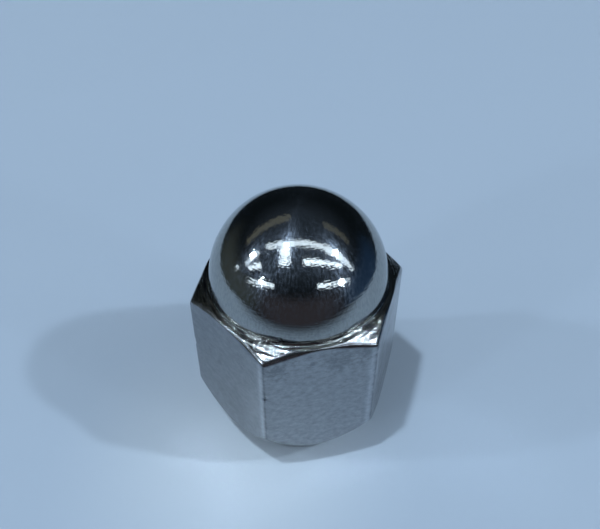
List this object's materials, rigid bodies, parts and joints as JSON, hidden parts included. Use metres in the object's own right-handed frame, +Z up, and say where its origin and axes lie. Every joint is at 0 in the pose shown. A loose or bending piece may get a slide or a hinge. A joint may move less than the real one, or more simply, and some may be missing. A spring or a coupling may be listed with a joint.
{
  "type": "lug nut",
  "caption": "Closed-end hexagonal wheel nut with a domed crown, a chamfered shoulder, a 60 degree conical seat and a blind threaded bore, in chrome-plated steel.",
  "frame": {"origin": "centre of the conical seat's small end face, at the mouth of the bore", "axes": "+Z up the nut's axis from the seat to the crown; two of the hexagon's corners lie on the X axis and two of its flats face +Y and -Y"},
  "size_m": [0.024, 0.0208, 0.0312],
  "materials": {
    "chrome": "worn bright chrome plating over forged steel"
  },
  "bodies": {
    "root": {"nut": "chrome"}
  },
  "joints": []
}
